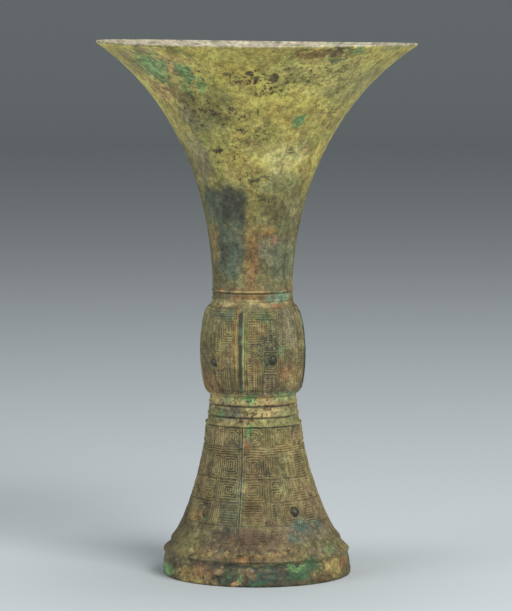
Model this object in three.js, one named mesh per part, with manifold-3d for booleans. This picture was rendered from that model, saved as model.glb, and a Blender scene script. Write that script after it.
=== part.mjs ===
// Bronze gu: a trumpet-mouthed ritual beaker, cast in one piece, hollow above and below its floor.
// Millimetres and degrees, +Z up. It stands on z = 0 with its axis on the origin.
// Azimuths are counted from -Y, where the nose of one mask faces, and grow towards +X.

import * as THREE from 'three';
import { mergeVertices } from 'three/addons/utils/BufferGeometryUtils.js';
import Module from 'manifold-3d';

// Heights of the parts, stacked from the table up
const BASE_RING_HEIGHT = 12;
const LEDGE_HEIGHT = 3.6;
const LIP_HEIGHT = 3.4;
const MAIN_BAND_HEIGHT = 46.5;
const UPPER_BAND_HEIGHT = 11;
const COLLAR_HEIGHT = 15;
const BULB_HEIGHT = 43.5;
const NECK_HEIGHT = 8.6;
const TRUMPET_HEIGHT = 120.2;
const RIM_HEIGHT = 1.2;

// Outside radii of the same parts
const BASE_RADIUS = 47.2;
const BASE_WAIST_RADIUS = 46.2;
const LEDGE_RADIUS = 46.6;
const LIP_RADIUS = 42.6;
const FOOT_RADIUS = 42.2;
const FOOT_TOP_RADIUS = 23.9;
const COLLAR_FOOT_RADIUS = 23;
const COLLAR_TOP_RADIUS = 21.3;
const BULB_FOOT_RADIUS = 23.3;
const BULB_TOP_RADIUS = 21.6;
const NECK_RADIUS = 20;
const RIM_RADIUS = 79.9;

// How each curve swells, as shares of its own height or of its own change in radius
const BULB_SWELL = 4.8;
const BULB_BELLY = { top: 0.12, bottom: 0.275 };
const BULB_UNDERCUT = 1.3;
const FOOT_SWEEP = { top: 0.36, topOut: 0.04, bottom: 0.05, bottomIn: 0.285 };
const TRUMPET_SWEEP = { neck: 0.227, rim: 0.274, rimIn: 0.852 };

// How far the lip's edges turn in, and where the base ring's hollow waist lies, as shares of their heights
const LIP_ROUND = { under: 0.4, over: 0.35, widest: 0.5 };
const BASE_WAIST = { top: 0.8, bottom: 0.42, foot: 0.2 };
const LIP_EDGE = 1;

// Thickness of the cast wall
const RIM_WALL = 1.5;
const NECK_WALL = 2.8;
const BULB_WALL = 3;
const FOOT_WALL = 2.9;
const FLOOR_THICKNESS = 3;
const FLOOR_FILLET = 1;
const NECK_WAIST = 0.4;

// Raised strings: how far each stands out, how wide it is, and where it lies on the part that carries it,
// as a share of that part's height
const STRING_PROUD = 0.55;
const STRING_WIDTH = 1.5;
const NECK_STRINGS = [0.37, 0.87];
const COLLAR_STRINGS = [0.31, 0.69];
const BAND_LINE_PROUD = 0.35;
const BAND_LINE_WIDTH = 1.2;

// Flanges on the mould joints, four round the bulb and four round the foot
const QUARTERS = 4;
const BULB_FLANGE = { width: 1.5, proud: 0.9, margin: 2.2, steps: 6 };
const FOOT_FLANGE = { width: 1.1, proud: 0.45, margin: 1.4, steps: 7 };

// Nipple eyes, measured from the nose of each mask
const BULB_EYE = { radius: 2, proud: 1.7, left: 33, right: 36, up: 0.39 };
const FOOT_EYE = { radius: 2.3, proud: 1.9, left: 38, right: 49, up: 0.33 };

// Squared spirals of raised thread, the largest figures in the fields beside each flange
const THREAD_PROUD = 0.5;
const THREAD_WIDTH = 0.8;
const THREAD_PITCH = 1.7;
const SPIRALS = [
  { field: 'foot', azimuth: 15, up: 0.833, runs: 7, stretch: 0.6 },
  { field: 'foot', azimuth: 15, up: 0.546, runs: 9, stretch: 0.4 },
  { field: 'band', azimuth: 16, up: 0.44, runs: 7, stretch: 0 },
  { field: 'bulb', azimuth: 17, up: 0.7, runs: 7, stretch: 1.2 },
];

// Hand-made unevenness: the shaft bows to -X, and the rim sits a little high at -X
const SHAFT_BOW = 2.25;
const RIM_TILT = 0.8;
const RIM_SADDLE = 0.85;

// Fineness of the facets
const ROUND_STEPS = 40;
const TRUMPET_STEPS = 13;
const INNER_TRUMPET_STEPS = 8;
const BULB_STEPS = 7;
const INNER_BULB_STEPS = 5;
const FOOT_STEPS = 7;
const INNER_FOOT_STEPS = 4;
const EYE_STEPS = { round: 8, over: 6 };
const CURVE_SAMPLES = 60;
const MERGE_DISTANCE = 1e-4;

// How deep a raised figure reaches into the wall that carries it
const ROOT = 0.9;

// Heights where one part ends and the next begins
const ledgeBottom = BASE_RING_HEIGHT;
const lipBottom = ledgeBottom + LEDGE_HEIGHT;
const footBottom = lipBottom + LIP_HEIGHT;
const bandBottom = footBottom + MAIN_BAND_HEIGHT;
const collarBottom = bandBottom + UPPER_BAND_HEIGHT;
const bulbBottom = collarBottom + COLLAR_HEIGHT;
const bulbTop = bulbBottom + BULB_HEIGHT;
const trumpetBottom = bulbTop + NECK_HEIGHT;
const trumpetTop = trumpetBottom + TRUMPET_HEIGHT;
const rimTop = trumpetTop + RIM_HEIGHT;

const point = (radius, height) => new THREE.Vector2(radius, height);

// The three swelling curves of the outside, each from its foot to its top

function footCurve() {
  const top = collarBottom - STRING_WIDTH / 2;
  const height = top - footBottom;
  const spread = FOOT_RADIUS - FOOT_TOP_RADIUS;
  return new THREE.CubicBezierCurve(
    point(FOOT_RADIUS, footBottom),
    point(FOOT_RADIUS - FOOT_SWEEP.bottomIn * spread, footBottom + FOOT_SWEEP.bottom * height),
    point(FOOT_TOP_RADIUS + FOOT_SWEEP.topOut * spread, top - FOOT_SWEEP.top * height),
    point(FOOT_TOP_RADIUS, top),
  );
}

function bulbCurve() {
  return new THREE.CubicBezierCurve(
    point(BULB_FOOT_RADIUS, bulbBottom),
    point(BULB_FOOT_RADIUS + BULB_SWELL, bulbBottom + BULB_BELLY.bottom * BULB_HEIGHT),
    point(BULB_TOP_RADIUS + BULB_SWELL, bulbTop - BULB_BELLY.top * BULB_HEIGHT),
    point(BULB_TOP_RADIUS, bulbTop),
  );
}

function trumpetCurve() {
  const edge = RIM_RADIUS - RIM_HEIGHT * LIP_ROUND.under;
  const spread = edge - NECK_RADIUS;
  return new THREE.CubicBezierCurve(
    point(NECK_RADIUS, trumpetBottom),
    point(NECK_RADIUS, trumpetBottom + TRUMPET_SWEEP.neck * TRUMPET_HEIGHT),
    point(edge - TRUMPET_SWEEP.rimIn * spread, trumpetTop - TRUMPET_SWEEP.rim * TRUMPET_HEIGHT),
    point(edge, trumpetTop),
  );
}

// Points of a curve moved towards the hollow by a wall that may change from start to end
function insetPoints(curve, steps, startWall, endWall) {
  const points = [];
  for (let i = 0; i <= steps; i += 1) {
    const t = i / steps;
    const along = curve.getTangent(t);
    const wall = THREE.MathUtils.lerp(startWall, endWall, t);
    const place = curve.getPoint(t);
    points.push(point(place.x - along.y * wall, place.y + along.x * wall));
  }
  return points;
}

// A string is a low ridge of three points round the vessel, here from its upper edge to its lower one
function ridgePoints(height, width, proud, radiusAt) {
  const half = width / 2;
  return [
    point(radiusAt(height + half), height + half),
    point(radiusAt(height) + proud, height),
    point(radiusAt(height - half), height - half),
  ];
}

function strings(shares, bottom, height, radiusAt) {
  return shares
    .toReversed()
    .flatMap((share) => ridgePoints(bottom + share * height, STRING_WIDTH, STRING_PROUD, radiusAt));
}

function collarRadius(height) {
  const up = (height - collarBottom) / COLLAR_HEIGHT;
  return THREE.MathUtils.lerp(COLLAR_FOOT_RADIUS, COLLAR_TOP_RADIUS, up);
}

// Outside radius of a relief field at any height, read off the same curve that the body is turned from
function radiusOf(curve) {
  const points = curve.getPoints(CURVE_SAMPLES);
  return (height) => {
    const above = Math.max(1, points.findIndex((p) => p.y >= height));
    const [low, high] = [points[above - 1], points[above]];
    return THREE.MathUtils.mapLinear(height, low.y, high.y, low.x, high.x);
  };
}

const footRadius = radiusOf(footCurve());
const fields = {
  foot: { bottom: footBottom, height: MAIN_BAND_HEIGHT, radiusAt: footRadius },
  band: { bottom: bandBottom, height: UPPER_BAND_HEIGHT, radiusAt: footRadius },
  bulb: { bottom: bulbBottom, height: BULB_HEIGHT, radiusAt: radiusOf(bulbCurve()) },
};

// The whole wall in section. It is listed from the floor up inside, over the rim, down outside and back
// inside the foot, then turned round so that the lathe's faces point out.
function sectionPoints() {
  const floorTop = bulbBottom + FLOOR_THICKNESS / 2;
  const floorUnder = floorTop - FLOOR_THICKNESS;
  const neckInside = NECK_RADIUS - NECK_WALL;

  const bulbInside = insetPoints(bulbCurve(), INNER_BULB_STEPS, BULB_WALL, BULB_WALL)
    .filter((p) => p.y > floorTop + FLOOR_FILLET);
  const trumpetInside = insetPoints(trumpetCurve(), INNER_TRUMPET_STEPS, NECK_WALL, RIM_WALL);
  const rim = [
    point(RIM_RADIUS - RIM_HEIGHT * LIP_ROUND.over, rimTop),
    point(RIM_RADIUS, rimTop - RIM_HEIGHT * LIP_ROUND.widest),
  ];
  const trumpetOutside = trumpetCurve().getPoints(TRUMPET_STEPS).reverse();
  const neckStrings = strings(NECK_STRINGS, bulbTop, NECK_HEIGHT, () => NECK_RADIUS);
  const bulbOutside = bulbCurve().getPoints(BULB_STEPS).reverse();
  const collar = strings(COLLAR_STRINGS, collarBottom, COLLAR_HEIGHT, collarRadius);
  const footEdge = [
    point(COLLAR_FOOT_RADIUS, collarBottom + STRING_WIDTH / 2),
    point(FOOT_TOP_RADIUS + STRING_PROUD, collarBottom),
  ];
  const bandLine = ridgePoints(bandBottom, BAND_LINE_WIDTH, BAND_LINE_PROUD, footRadius);
  const footPoints = footCurve().getPoints(FOOT_STEPS).reverse();
  const footOutside = [
    ...footPoints.filter((p) => p.y > bandLine[0].y + BAND_LINE_WIDTH),
    ...bandLine,
    ...footPoints.filter((p) => p.y < bandLine[2].y - BAND_LINE_WIDTH),
  ];
  const base = [
    point(LIP_RADIUS, lipBottom + LIP_EDGE),
    point(LEDGE_RADIUS, ledgeBottom),
    point(BASE_WAIST_RADIUS, BASE_RING_HEIGHT * BASE_WAIST.top),
    point(BASE_WAIST_RADIUS, BASE_RING_HEIGHT * BASE_WAIST.bottom),
    point(BASE_RADIUS, BASE_RING_HEIGHT * BASE_WAIST.foot),
    point(BASE_RADIUS, 0),
  ];
  const footInside = [
    point(BASE_RADIUS - FOOT_WALL, 0),
    point(LEDGE_RADIUS - FOOT_WALL, ledgeBottom),
    ...insetPoints(footCurve(), INNER_FOOT_STEPS, FOOT_WALL, FOOT_WALL),
    point(collarRadius(floorUnder) - FOOT_WALL, floorUnder),
  ];

  return [
    point(0, floorTop),
    point(BULB_FOOT_RADIUS - BULB_WALL, floorTop),
    ...bulbInside,
    point(neckInside, bulbTop + NECK_HEIGHT * NECK_WAIST),
    ...trumpetInside,
    ...rim,
    ...trumpetOutside,
    ...neckStrings,
    ...bulbOutside,
    point(COLLAR_TOP_RADIUS, bulbBottom - BULB_UNDERCUT),
    ...collar,
    ...footEdge,
    ...footOutside,
    ...base,
    ...footInside,
    point(0, floorUnder),
  ].reverse();
}

// Turned shapes and wrapped figures become closed solids that can be joined
const wasm = await Module();
wasm.setup();

function solidOf(geometry) {
  geometry.deleteAttribute('normal');
  geometry.deleteAttribute('uv');
  const merged = mergeVertices(geometry, MERGE_DISTANCE);
  return new wasm.Manifold(new wasm.Mesh({
    numProp: 3,
    vertProperties: new Float32Array(merged.attributes.position.array),
    triVerts: new Uint32Array(merged.index.array),
  }));
}

function turnedBody() {
  const lathe = new THREE.LatheGeometry(sectionPoints(), ROUND_STEPS);
  lathe.rotateX(Math.PI / 2);
  return solidOf(lathe);
}

// Lays a flat figure on the vessel: x runs round it, y is the height, z stands out of the surface
function wrap(geometry, azimuth, centreHeight, radiusAt) {
  const middle = radiusAt(centreHeight);
  const place = geometry.attributes.position;
  for (let i = 0; i < place.count; i += 1) {
    const angle = THREE.MathUtils.degToRad(azimuth) + place.getX(i) / middle;
    const height = centreHeight + place.getY(i);
    const radius = radiusAt(height) + place.getZ(i);
    place.setXYZ(i, radius * Math.sin(angle), -radius * Math.cos(angle), height);
  }
  return solidOf(geometry);
}

// A flange is a thin upright fin that follows the swell of its field
function flange(size, quarter, bottom, top, radiusAt) {
  const height = top - bottom - 2 * size.margin;
  const fin = new THREE.BoxGeometry(size.width, height, size.proud + ROOT, 1, size.steps, 1);
  fin.translate(0, 0, (size.proud - ROOT) / 2);
  return wrap(fin, (quarter * 360) / QUARTERS, (bottom + top) / 2, radiusAt);
}

// A nipple eye is a low dome
function eye(size, azimuth, field) {
  const dome = new THREE.SphereGeometry(size.radius, EYE_STEPS.round, EYE_STEPS.over);
  dome.scale(1, 1, size.proud / size.radius);
  return wrap(dome, azimuth, field.bottom + size.up * field.height, field.radiusAt);
}

// Corners of a squared spiral that winds out from its middle, one step longer at every second run
function spiralCorners(runs, stretch) {
  const corners = [point(0, 0)];
  const directions = [point(1, 0), point(0, 1), point(-1, 0), point(0, -1)];
  for (let run = 0; run < runs; run += 1) {
    const upright = run % 2 === 1;
    const length = THREAD_PITCH * (1 + Math.floor(run / 2) + (upright ? stretch : 0));
    const last = corners.at(-1);
    corners.push(last.clone().addScaledVector(directions[run % 4], length));
  }
  const bounds = new THREE.Box2().setFromPoints(corners);
  const middle = bounds.getCenter(new THREE.Vector2());
  return corners.map((corner) => corner.sub(middle));
}

// A thread of even width along those corners, as one closed outline
function threadShape(corners, side) {
  const half = THREAD_WIDTH / 2;
  const offsetRow = (sign) => corners.map((corner, i) => {
    const before = corner.clone().sub(corners[Math.max(i - 1, 0)]).normalize();
    const after = (corners[i + 1] ?? corner).clone().sub(corner).normalize();
    const across = before.add(after);
    return point(corner.x - across.y * half * sign, corner.y + across.x * half * sign);
  });
  const outline = [...offsetRow(1), ...offsetRow(-1).reverse()];
  return new THREE.Shape(outline.map((p) => point(p.x * side, p.y)));
}

function spiral(design, azimuth, side) {
  const field = fields[design.field];
  const shape = threadShape(spiralCorners(design.runs, design.stretch), side);
  const thread = new THREE.ExtrudeGeometry(shape, { depth: THREAD_PROUD + ROOT, bevelEnabled: false });
  thread.translate(0, 0, -ROOT);
  return wrap(thread, azimuth, field.bottom + design.up * field.height, field.radiusAt);
}

// Two masks, back to back: each has a nose flange, a pair of eyes and mirrored spirals
function raisedFigures() {
  const figures = [];
  for (let quarter = 0; quarter < QUARTERS; quarter += 1) {
    figures.push(flange(BULB_FLANGE, quarter, bulbBottom, bulbTop, fields.bulb.radiusAt));
    figures.push(flange(FOOT_FLANGE, quarter, footBottom, collarBottom, footRadius));
  }
  for (const nose of [0, 180]) {
    for (const side of [-1, 1]) {
      const reach = side < 0 ? 'left' : 'right';
      figures.push(eye(BULB_EYE, nose + side * BULB_EYE[reach], fields.bulb));
      figures.push(eye(FOOT_EYE, nose + side * FOOT_EYE[reach], fields.foot));
      for (const design of SPIRALS) {
        figures.push(spiral(design, nose + side * design.azimuth, side));
      }
    }
  }
  return figures;
}

// Bows the shaft and unlevels the rim, as the old casting is
function handMade(x, y, z) {
  const up = THREE.MathUtils.clamp((z - trumpetBottom) / TRUMPET_HEIGHT, 0, 1);
  const across = x / RIM_RADIUS;
  const lift = up * (RIM_SADDLE * across * across - RIM_TILT * across);
  const bow = SHAFT_BOW * Math.sin((Math.PI * z) / rimTop);
  return [x - bow, y, z + lift];
}

function vesselGeometry() {
  const joined = raisedFigures().reduce((body, figure) => body.add(figure), turnedBody());
  const { vertProperties, triVerts } = joined.getMesh();
  const places = new Float32Array(vertProperties);
  for (let i = 0; i < places.length; i += 3) {
    places.set(handMade(places[i], places[i + 1], places[i + 2]), i);
  }
  const geometry = new THREE.BufferGeometry();
  geometry.setAttribute('position', new THREE.BufferAttribute(places, 3));
  geometry.setIndex(new THREE.BufferAttribute(new Uint32Array(triVerts), 1));
  geometry.computeVertexNormals();
  return geometry;
}

const patinatedBronze = new THREE.MeshStandardMaterial({
  color: 0x8f8450,
  roughness: 0.6,
  metalness: 0.35,
});

const vessel = new THREE.Mesh(vesselGeometry(), patinatedBronze);
vessel.name = 'gu_vessel';

const gu = new THREE.Group();
gu.add(vessel);

export default gu;
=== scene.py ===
# %% [markdown]
# # A bronze gu, from its packed solid to its old skin
# A gu is a tall drinking beaker of ancient China, cast in one pour. Its solid is already packed at
# its real size, so this lesson loads that solid as a frame and dresses it: a finer mesh that
# carries the thread relief, and a patina worked out from places on the vessel. Nothing is moved or
# resized.

import math
from bisect import bisect

import bmesh
import bpy
from mathutils import Matrix, Vector, noise
from mathutils.geometry import interpolate_bezier


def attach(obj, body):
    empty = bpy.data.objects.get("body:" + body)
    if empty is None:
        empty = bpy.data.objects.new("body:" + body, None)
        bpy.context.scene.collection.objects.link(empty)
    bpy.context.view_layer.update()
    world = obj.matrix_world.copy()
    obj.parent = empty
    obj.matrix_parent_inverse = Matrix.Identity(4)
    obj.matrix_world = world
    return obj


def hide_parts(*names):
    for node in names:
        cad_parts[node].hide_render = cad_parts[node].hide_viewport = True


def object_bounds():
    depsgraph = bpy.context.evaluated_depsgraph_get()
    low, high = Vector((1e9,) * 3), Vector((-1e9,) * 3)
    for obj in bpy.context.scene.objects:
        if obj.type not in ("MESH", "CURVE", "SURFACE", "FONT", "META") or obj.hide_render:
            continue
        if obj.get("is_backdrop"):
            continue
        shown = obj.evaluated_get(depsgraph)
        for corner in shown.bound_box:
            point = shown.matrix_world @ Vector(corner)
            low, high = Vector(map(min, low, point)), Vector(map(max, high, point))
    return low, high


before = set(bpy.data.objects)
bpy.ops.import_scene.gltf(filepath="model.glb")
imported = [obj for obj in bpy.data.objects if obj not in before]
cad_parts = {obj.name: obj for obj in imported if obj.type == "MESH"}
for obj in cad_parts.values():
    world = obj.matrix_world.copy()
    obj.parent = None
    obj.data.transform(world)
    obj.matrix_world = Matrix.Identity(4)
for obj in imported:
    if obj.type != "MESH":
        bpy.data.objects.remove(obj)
cad_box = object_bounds()
print("the solid's box in metres:", cad_box)

# %% [markdown]
# ## The camera
# The photograph looks slightly down on the vessel from far away, so its upright lines hardly
# converge. The frame's -Y side, where the nose flange of one mask stands, is turned a little to the
# left. A long lens at the photograph's distance gives that look, and a vertical sensor fit keeps it
# at any image width.

# %% Place the camera
MM = 0.001
CAMERA_DISTANCE = 1650 * MM
CAMERA_HEIGHT = 286 * MM
CAMERA_ASIDE = 0.45 * MM
CAMERA_TURN = math.radians(13.3)
CAMERA_TILT = math.radians(5.25)
LENS = 195.4
SENSOR = 36
UPRIGHT = Vector((0, 0, 1))
TOWARDS_CAMERA = Vector((math.sin(CAMERA_TURN), -math.cos(CAMERA_TURN), 0))
TO_THE_RIGHT = Vector((math.cos(CAMERA_TURN), math.sin(CAMERA_TURN), 0))


def place_camera():
    """Stands the camera off the vessel at the photograph's angle."""
    data = bpy.data.cameras.new("studio_camera")
    data.lens = LENS
    data.sensor_fit = "VERTICAL"
    data.sensor_height = SENSOR
    data.clip_end = 20
    camera = bpy.data.objects.new("studio_camera", data)
    camera.location = (
        TOWARDS_CAMERA * CAMERA_DISTANCE - TO_THE_RIGHT * CAMERA_ASIDE + UPRIGHT * CAMERA_HEIGHT
    )
    camera.rotation_euler = (math.pi / 2 - CAMERA_TILT, 0, CAMERA_TURN)
    bpy.context.collection.objects.link(camera)
    bpy.context.scene.camera = camera
    return camera


camera = place_camera()
print("camera stands at", [round(value, 3) for value in camera.location])

# %% [markdown]
# ## The studio
# The vessel stands in a plain pale studio. A sheet that lies under it and curves up behind it shows
# no edge, so it is a chain of points pulled sideways into one smooth strip. Large panels give soft
# light, and a grey surround fills the shadows. The standard view keeps the pigments as they are
# mixed below.

# %% Roll out the studio sheet
SHEET_HALF_WIDTH = 6.0
SHEET_FRONT = 6.0
SHEET_BACK = 5.0
SHEET_RISE = 4.5
SHEET_BEND = 1.5
BEND_STEPS = 12
SHEET_COLOUR = (0.46, 0.51, 0.55, 1)
SHEET_ROUGHNESS = 0.85


def roll_out_sheet():
    """Makes the floor and its curved back as one smooth strip."""
    shape = bmesh.new()
    turns = [math.pi / 2 * step / BEND_STEPS for step in range(BEND_STEPS + 1)]
    bend = [(SHEET_BACK + SHEET_BEND * math.sin(t), SHEET_BEND * (1 - math.cos(t))) for t in turns]
    outline = [(-SHEET_FRONT, 0), *bend, (SHEET_BACK + SHEET_BEND, SHEET_RISE)]
    points = [shape.verts.new((-SHEET_HALF_WIDTH, away, up)) for away, up in outline]
    edges = [shape.edges.new(pair) for pair in zip(points, points[1:])]
    pulled = bmesh.ops.extrude_edge_only(shape, edges=edges)["geom"]
    moved = [part for part in pulled if isinstance(part, bmesh.types.BMVert)]
    bmesh.ops.translate(shape, verts=moved, vec=(2 * SHEET_HALF_WIDTH, 0, 0))
    turn = Matrix.Rotation(CAMERA_TURN, 3, "Z")
    bmesh.ops.rotate(shape, verts=shape.verts, cent=(0, 0, 0), matrix=turn)
    for face in shape.faces:
        face.smooth = True
        if face.normal.z < 0:
            face.normal_flip()
    mesh = bpy.data.meshes.new("studio_sheet")
    shape.to_mesh(mesh)
    shape.free()
    sheet = bpy.data.objects.new("studio_sheet", mesh)
    bpy.context.collection.objects.link(sheet)
    return sheet


def paper_material():
    """A plain matt paper."""
    material = bpy.data.materials.new("studio_paper")
    material.use_nodes = True
    shader = material.node_tree.nodes["Principled BSDF"]
    shader.inputs["Base Color"].default_value = SHEET_COLOUR
    shader.inputs["Roughness"].default_value = SHEET_ROUGHNESS
    return material


sheet = roll_out_sheet()
sheet.data.materials.append(paper_material())
sheet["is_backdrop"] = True
print("studio sheet has", len(sheet.data.polygons), "faces")

# %% Hang the light panels
# Each panel: name, place towards the camera, to the right and up, width, power in watts, colour
PANELS = [
    ("key_panel", (1.2, 0.9, 1.4), 1.0, 38, (1.0, 0.97, 0.9)),
    ("fill_panel", (0.8, -1.4, 0.8), 1.1, 12, (0.95, 0.98, 1.0)),
    ("top_panel", (-0.1, 0.1, 1.7), 0.8, 10, (1.0, 1.0, 1.0)),
]
AIM = Vector((0, 0, 0.14))
SURROUND_COLOUR = (0.55, 0.55, 0.54, 1)
SURROUND_STRENGTH = 0.42


def hang_panel(name, place, width, power, colour):
    """Hangs one square panel of light and turns it to the vessel."""
    data = bpy.data.lights.new(name, "AREA")
    data.shape = "SQUARE"
    data.size = width
    data.energy = power
    data.color = colour
    panel = bpy.data.objects.new(name, data)
    ahead, aside, up = place
    panel.location = TOWARDS_CAMERA * ahead + TO_THE_RIGHT * aside + UPRIGHT * up
    panel.rotation_euler = (AIM - panel.location).to_track_quat("-Z", "Y").to_euler()
    bpy.context.collection.objects.link(panel)


for panel in PANELS:
    hang_panel(*panel)

world = bpy.data.worlds.new("studio_surround")
world.use_nodes = True
world.node_tree.nodes["Background"].inputs["Color"].default_value = SURROUND_COLOUR
world.node_tree.nodes["Background"].inputs["Strength"].default_value = SURROUND_STRENGTH
bpy.context.scene.world = world
bpy.context.scene.view_settings.view_transform = "Standard"
print("light panels:", [name for name, *_ in PANELS])

# %% [markdown]
# ## The turned form
# The founder's model was close to a turned form, so every height has one radius. The sizes below
# are those of the solid, in millimetres: parts stacked from the table up, and three swelling
# curves, each held by a few shares of its own height and spread. The mesh follows the same curves
# with finer steps.

# %% Stack the heights and name the radii
BASE_RING_HEIGHT = 12
LEDGE_HEIGHT = 3.6
LIP_HEIGHT = 3.4
MAIN_BAND_HEIGHT = 46.5
UPPER_BAND_HEIGHT = 11
COLLAR_HEIGHT = 15
BULB_HEIGHT = 43.5
NECK_HEIGHT = 8.6
TRUMPET_HEIGHT = 120.2
RIM_HEIGHT = 1.2

LEDGE_BOTTOM = BASE_RING_HEIGHT
LIP_BOTTOM = LEDGE_BOTTOM + LEDGE_HEIGHT
FOOT_BOTTOM = LIP_BOTTOM + LIP_HEIGHT
BAND_BOTTOM = FOOT_BOTTOM + MAIN_BAND_HEIGHT
COLLAR_BOTTOM = BAND_BOTTOM + UPPER_BAND_HEIGHT
BULB_BOTTOM = COLLAR_BOTTOM + COLLAR_HEIGHT
BULB_TOP = BULB_BOTTOM + BULB_HEIGHT
TRUMPET_BOTTOM = BULB_TOP + NECK_HEIGHT
TRUMPET_TOP = TRUMPET_BOTTOM + TRUMPET_HEIGHT
RIM_TOP = TRUMPET_TOP + RIM_HEIGHT

BASE_RADIUS = 47.1
BASE_WAIST_RADIUS = 46.0
LEDGE_RADIUS = 46.5
LIP_RADIUS = 42.6
FOOT_RADIUS = 42.2
FOOT_TOP_RADIUS = 23.9
COLLAR_FOOT_RADIUS = 23
COLLAR_TOP_RADIUS = 21.3
BULB_FOOT_RADIUS = 23.3
BULB_TOP_RADIUS = 21.6
NECK_RADIUS = 20
RIM_RADIUS = 79.9
RIM_WALL = 1.5
NECK_WALL = 2.8
BULB_WALL = 3
FOOT_WALL = 2.9
FLOOR_THICKNESS = 3
print("vessel is", RIM_TOP, "mm tall and", 2 * RIM_RADIUS, "mm across its rim")

# %% Draw the three swelling curves
CURVE_POINTS = 240
STRING_WIDTH = 1.5
BULB_SWELL = 4.8
foot_height = COLLAR_BOTTOM - STRING_WIDTH / 2 - FOOT_BOTTOM
foot_spread = FOOT_RADIUS - FOOT_TOP_RADIUS
rim_edge = RIM_RADIUS - 0.4 * RIM_HEIGHT
trumpet_spread = rim_edge - NECK_RADIUS

FOOT_CURVE = [
    (FOOT_RADIUS, FOOT_BOTTOM),
    (FOOT_RADIUS - 0.285 * foot_spread, FOOT_BOTTOM + 0.05 * foot_height),
    (FOOT_TOP_RADIUS + 0.04 * foot_spread, FOOT_BOTTOM + 0.64 * foot_height),
    (FOOT_TOP_RADIUS, FOOT_BOTTOM + foot_height),
]
BULB_CURVE = [
    (BULB_FOOT_RADIUS, BULB_BOTTOM),
    (BULB_FOOT_RADIUS + BULB_SWELL, BULB_BOTTOM + 0.275 * BULB_HEIGHT),
    (BULB_TOP_RADIUS + BULB_SWELL, BULB_TOP - 0.12 * BULB_HEIGHT),
    (BULB_TOP_RADIUS, BULB_TOP),
]
TRUMPET_CURVE = [
    (NECK_RADIUS, TRUMPET_BOTTOM),
    (NECK_RADIUS, TRUMPET_BOTTOM + 0.227 * TRUMPET_HEIGHT),
    (rim_edge - 0.852 * trumpet_spread, TRUMPET_TOP - 0.274 * TRUMPET_HEIGHT),
    (rim_edge, TRUMPET_TOP),
]


def curve_radius(handles):
    """Gives the radius of a curve at any height."""
    points = interpolate_bezier(*[Vector((r, z, 0)) for r, z in handles], CURVE_POINTS)
    heights = [place.y for place in points]

    def radius_at(height):
        above = min(max(bisect(heights, height), 1), len(points) - 1)
        lower, upper = points[above - 1], points[above]
        share = (height - lower.y) / (upper.y - lower.y)
        return lower.x + (upper.x - lower.x) * share

    return radius_at


foot_radius = curve_radius(FOOT_CURVE)
bulb_radius = curve_radius(BULB_CURVE)
trumpet_radius = curve_radius(TRUMPET_CURVE)
print("bulb is", round(2 * bulb_radius(109), 1), "mm across at its belly")

# %% [markdown]
# ## Raised strings
# The founder drew thin raised strings round the neck and the collar, each with a sharp line below
# it. A string is a small bump added to the radius, so it follows whatever carries it. The dark
# colour painted along these lines further down is painted shade under the strings, and the pale
# colour on the neck's strings is a painted highlight.

# %% Add strings to a radius
STRING_PROUD = 0.42
LINE_DEPTH = 0.45
LINE_WIDTH = 0.8
NECK_STRINGS = [BULB_TOP + share * NECK_HEIGHT for share in (0.37, 0.87)]
COLLAR_STRINGS = [COLLAR_BOTTOM + share * COLLAR_HEIGHT for share in (0.31, 0.69)]


def bump(distance, half_width):
    """A round bump: one at its middle, nothing beyond its half width."""
    share = min(1, abs(distance) / half_width)
    return 0.5 + 0.5 * math.cos(math.pi * share)


def string_rise(height, strings):
    """How far the strings and the lines under them move the surface at a height."""
    rise = 0
    for crest in strings:
        rise += STRING_PROUD * bump(height - crest, STRING_WIDTH / 2)
        from_line = height - crest + STRING_WIDTH / 2 + LINE_WIDTH / 3
        rise -= LINE_DEPTH * bump(from_line, LINE_WIDTH / 2)
    return rise


def collar_radius(height):
    """The collar narrows upwards and carries two strings."""
    up = (height - COLLAR_BOTTOM) / COLLAR_HEIGHT
    plain = COLLAR_FOOT_RADIUS + (COLLAR_TOP_RADIUS - COLLAR_FOOT_RADIUS) * up
    return plain + string_rise(height, COLLAR_STRINGS)


def neck_radius(height):
    """The neck is straight and carries two strings."""
    return NECK_RADIUS + string_rise(height, NECK_STRINGS)


print("strings lie at", [round(height, 1) for height in NECK_STRINGS + COLLAR_STRINGS], "mm")

# %% [markdown]
# ## Rows and columns
# The thread relief is about 1.2 mm from thread to thread wherever it lies, while the foot is almost
# twice as wide at its hem as at its top. So the relief is cut into registers, and each has its own
# number of columns, which keeps one cell of the mesh near 0.6 mm. One upright chain of points is
# spun round the axis for each stretch, and neighbouring stretches are then bridged, whatever their
# numbers of columns.

# %% Lay out the stretches of the outside
CELL = 0.6
SEAM = 0.45
BASE_STEP = 0.8
EDGE_STEP = 0.45
COLLAR_STEP = 0.36
NECK_STEP = 0.34
TRUMPET_STEP = 2
HOLLOW_STEP = 4
BASE_COLUMNS = 260
COLLAR_COLUMNS = 160
SHAFT_COLUMNS = 144
HOLLOW_COLUMNS = 120


def rows_between(radius_at, bottom, top, step):
    """Points of an outline from its bottom to its top, evenly spaced in height."""
    steps = max(1, round((top - bottom) / step))
    heights = [bottom + (top - bottom) * i / steps for i in range(steps + 1)]
    return [(radius_at(height), height) for height in heights]


def along(corners, step):
    """Points of an outline through corners, evenly spaced along each straight."""
    points = [corners[0]]
    for (r0, z0), (r1, z1) in zip(corners, corners[1:]):
        steps = max(1, round(math.hypot(r1 - r0, z1 - z0) / step))
        for i in range(1, steps + 1):
            points.append((r0 + (r1 - r0) * i / steps, z0 + (z1 - z0) * i / steps))
    return points


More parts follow.
